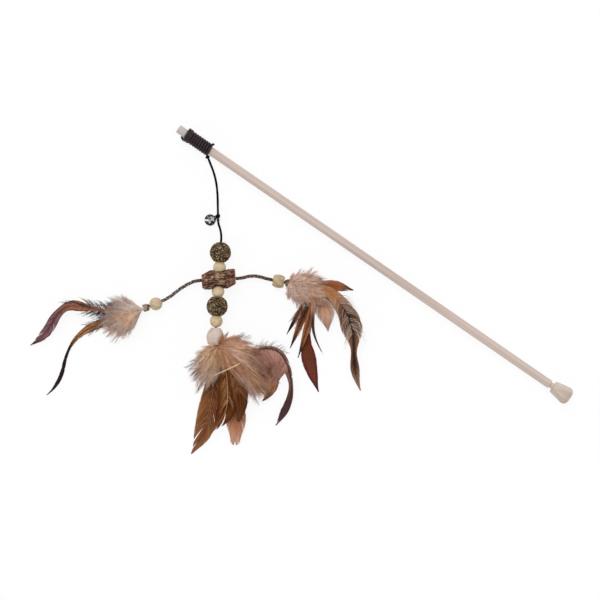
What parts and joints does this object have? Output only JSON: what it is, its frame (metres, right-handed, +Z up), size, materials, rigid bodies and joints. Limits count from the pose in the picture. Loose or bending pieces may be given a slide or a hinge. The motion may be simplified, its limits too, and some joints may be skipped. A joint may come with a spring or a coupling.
{
  "type": "cat teaser wand",
  "caption": "Cat teaser wand: a turned wooden rod whose waxed cord carries a jingle bell, flecked balls, beads and a bark stick with braided arms that end in feather tassels.",
  "frame": {"origin": "centre of the square-sawn face at the rod's tip", "axes": "+X along the rod from its tip to the end knob, +Z up from the table that the wand and its toy lie on, the toy on the -Y side"},
  "size_m": [0.442, 0.2824, 0.0232],
  "materials": {
    "rod_wood": "sanded, unvarnished",
    "knob_wood": "turned, unvarnished",
    "waxed_cord": "waxed",
    "lead_cord": "waxed",
    "bell_metal": "bright nickel",
    "pellet_steel": "plain",
    "flecked_ball": "pressed flecks, matt",
    "bead_wood": "sanded",
    "bark": "rough bark",
    "braid_cord": "braided",
    "binding_thread": "wound thread",
    "rust_feather": "barbed",
    "dark_feather": "barbed",
    "pale_feather": "barbed",
    "down": "fluffy"
  },
  "bodies": {
    "wand": {"rod": "rod_wood", "end_knob": "knob_wood", "whipping": "waxed_cord", "lead_hitch": "waxed_cord"},
    "lead": {"upper_lead": "lead_cord", "bell_knot": "lead_cord"},
    "string": {"lower_lead": "lead_cord", "string_core": "lead_cord", "stop_knot": "lead_cord"},
    "bell": {"bell_cap": "bell_metal", "bell_cup": "bell_metal", "bell_eye": "bell_metal"},
    "pellet": {"bell_pellet": "pellet_steel"},
    "upper_ball": {"upper_ball": "flecked_ball"},
    "upper_bead": {"upper_bead": "bead_wood"},
    "stick": {"bark_stick": "bark", "braid_core": "braid_cord"},
    "middle_bead": {"middle_bead": "bead_wood"},
    "lower_ball": {"lower_ball": "flecked_ball"},
    "lower_bead": {"lower_bead": "bead_wood"},
    "plume": {"ferrule_bead": "bead_wood", "plume_down": "down", "plume_long_feather": "rust_feather", "plume_middle_feather": "rust_feather", "plume_round_feather": "pale_feather", "plume_short_feather": "rust_feather", "plume_inner_curl": "rust_feather", "plume_outer_curl": "dark_feather"},
    "left_wing": {"left_braid": "braid_cord", "left_binding": "binding_thread", "left_down": "down", "left_upper_feather": "rust_feather", "left_lower_feather": "rust_feather"},
    "left_bead": {"left_bead": "bead_wood"},
    "right_wing": {"right_braid": "braid_cord", "right_binding": "binding_thread", "right_down": "down", "right_short_spike": "dark_feather", "right_middle_spike": "dark_feather", "right_long_spike": "dark_feather", "right_rust_feather": "rust_feather", "right_thin_feather": "dark_feather", "right_pale_feather": "pale_feather", "right_dark_feather": "dark_feather", "right_top_feather": "rust_feather"},
    "right_bead": {"right_bead": "bead_wood"}
  },
  "joints": [
    {"name": "lead_swing", "type": "hinge", "parent": "wand", "child": "lead", "pos_m": [0.0372, -0.00615, -0.001], "axis": [0, 0, 1], "range_deg": [-100, 4]},
    {"name": "string_lift", "type": "hinge", "parent": "lead", "child": "string", "pos_m": [0.07638, -0.04614, -0.0025], "axis": [0.8237, 0.567, 0], "range_deg": [-80, 80]},
    {"name": "bell_swing", "type": "hinge", "parent": "string", "child": "bell", "pos_m": [0.07839, -0.04906, -0.0024], "axis": [-0.567, 0.8237, 0], "range_deg": [-120, 120]},
    {"name": "pellet_rattle", "type": "slide", "parent": "bell", "child": "pellet", "axis": [0, 0, 1], "range_m": [0, 0.0059]},
    {"name": "upper_ball_spin", "type": "hinge", "parent": "string", "child": "upper_ball", "pos_m": [0.09242, -0.06417, 0.0018], "axis": [0.5158, -0.8567, 0], "continuous": true},
    {"name": "upper_bead_spin", "type": "hinge", "parent": "string", "child": "upper_bead", "pos_m": [0.09242, -0.06417, 0.0018], "axis": [0.5158, -0.8567, 0], "continuous": true},
    {"name": "stick_spin", "type": "hinge", "parent": "string", "child": "stick", "pos_m": [0.09242, -0.06417, 0.0018], "axis": [0.5158, -0.8567, 0], "continuous": true},
    {"name": "middle_bead_spin", "type": "hinge", "parent": "string", "child": "middle_bead", "pos_m": [0.09242, -0.06417, 0.0018], "axis": [0.5158, -0.8567, 0], "continuous": true},
    {"name": "lower_ball_spin", "type": "hinge", "parent": "string", "child": "lower_ball", "pos_m": [0.09242, -0.06417, 0.0018], "axis": [0.5158, -0.8567, 0], "continuous": true},
    {"name": "lower_bead_spin", "type": "hinge", "parent": "string", "child": "lower_bead", "pos_m": [0.09242, -0.06417, 0.0018], "axis": [0.5158, -0.8567, 0], "continuous": true},
    {"name": "plume_spin", "type": "hinge", "parent": "string", "child": "plume", "pos_m": [0.09242, -0.06417, 0.0018], "axis": [0.5158, -0.8567, 0], "continuous": true},
    {"name": "left_wing_flap", "type": "hinge", "parent": "stick", "child": "left_wing", "pos_m": [0.09656, -0.10485, -0.0019], "axis": [0.5158, -0.8567, 0], "range_deg": [-45, 45]},
    {"name": "left_bead_spin", "type": "hinge", "parent": "left_wing", "child": "left_bead", "pos_m": [0.06957, -0.15401, -0.0019], "axis": [-0.5741, -0.8188, 0], "continuous": true},
    {"name": "right_wing_flap", "type": "hinge", "parent": "stick", "child": "right_wing", "pos_m": [0.12438, -0.08346, -0.0019], "axis": [0.5158, -0.8567, 0], "range_deg": [-45, 45]},
    {"name": "right_bead_spin", "type": "hinge", "parent": "right_wing", "child": "right_bead", "pos_m": [0.16534, -0.06024, -0.0019], "axis": [0.9084, 0.4181, 0], "continuous": true}
  ]
}
